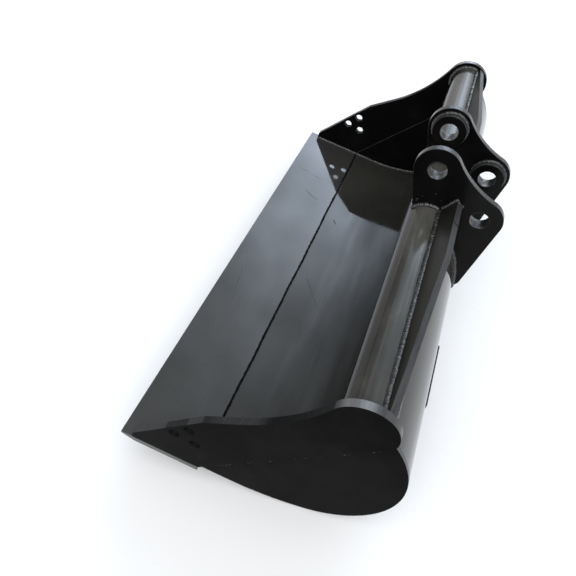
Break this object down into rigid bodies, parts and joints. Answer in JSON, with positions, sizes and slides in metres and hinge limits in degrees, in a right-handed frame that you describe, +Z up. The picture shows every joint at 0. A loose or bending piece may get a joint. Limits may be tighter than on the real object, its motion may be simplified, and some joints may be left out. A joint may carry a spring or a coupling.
{
  "type": "excavator grading bucket",
  "caption": "Wide smooth-edged grading bucket for a small excavator, with a rolled shell, side cutters, a cross tube and a pair of pin ears.",
  "frame": {"origin": "centre of the bounding box's bottom, level with the ground under the wear straps", "axes": "+X across the width and along both pin bores, -Y out over the cutting edge, +Z up from level ground, with the bucket leaning back 20.2 degrees on its wear straps as it rests"},
  "size_m": [1, 0.5178, 0.4066],
  "materials": {
    "plate_paint": "gloss black paint on steel plate",
    "floor_paint": "dark grey paint with a satin sheen and light scuffs",
    "tube_paint": "gloss black paint with a faint rolled grain",
    "weld_paint": "gloss black paint over rippled weld beads",
    "boss_steel": "bare bored steel inside, black paint outside"
  },
  "bodies": {
    "root": {"cutting_edge": "floor_paint", "shell": "floor_paint", "torque_tube": "tube_paint", "side_cutter_right": "plate_paint", "side_cutter_left": "plate_paint", "cheek_plate_right": "plate_paint", "cheek_plate_left": "plate_paint", "wear_strap_right": "plate_paint", "wear_strap_left": "plate_paint", "ear_right": "plate_paint", "ear_left": "plate_paint", "arm_pin_boss_right": "boss_steel", "arm_pin_boss_left": "boss_steel", "link_pin_boss_right": "boss_steel", "link_pin_boss_left": "boss_steel", "wing_right": "plate_paint", "wing_left": "plate_paint", "arm_boss_weld_right": "weld_paint", "arm_boss_weld_left": "weld_paint", "link_boss_weld_right": "weld_paint", "link_boss_weld_left": "weld_paint", "wing_weld_right": "weld_paint", "wing_weld_left": "weld_paint", "tube_end_weld_right": "weld_paint", "tube_end_weld_left": "weld_paint", "ear_weld_right": "weld_paint", "ear_weld_left": "weld_paint", "shell_weld_right": "weld_paint", "shell_weld_left": "weld_paint", "cutter_weld_right": "weld_paint", "cutter_weld_left": "weld_paint", "cheek_weld_right": "weld_paint", "cheek_weld_left": "weld_paint", "tube_shell_weld": "weld_paint", "cutting_edge_weld": "weld_paint"}
  },
  "joints": []
}
